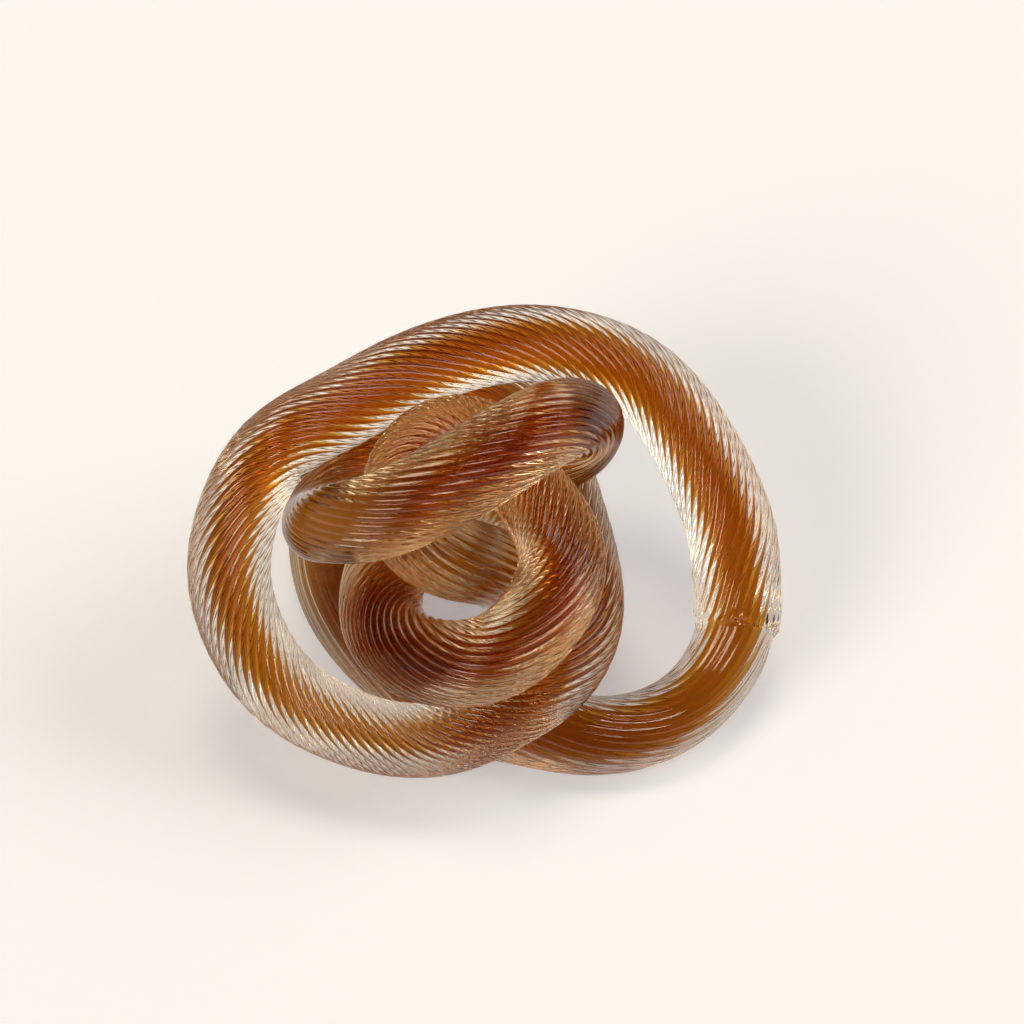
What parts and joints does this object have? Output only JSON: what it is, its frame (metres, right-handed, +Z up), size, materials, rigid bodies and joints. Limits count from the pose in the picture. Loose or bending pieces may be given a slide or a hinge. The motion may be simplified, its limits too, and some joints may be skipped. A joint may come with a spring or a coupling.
{
  "type": "glass knot paperweight",
  "caption": "Knot of cased glass cane, amber core in a clear ribbed casing, wound over and through itself and welded end to end; a paperweight that rests on its bottom turn.",
  "frame": {"origin": "on the table, under the middle of the knot's box", "axes": "+Z up from the table, +X to the right along the longest side, +Y away from the viewer"},
  "size_m": [0.1357, 0.114, 0.093],
  "materials": {
    "clear_glass": "gloss",
    "amber_glass": "gloss"
  },
  "bodies": {
    "root": {"base_turn": "clear_glass", "base_hoop": "clear_glass", "inner_ring": "clear_glass", "middle_turn": "clear_glass", "front_wrap": "clear_glass", "rear_turn": "clear_glass", "outer_loop": "clear_glass", "seam_weld": "clear_glass", "amber_core": "amber_glass"}
  },
  "joints": []
}
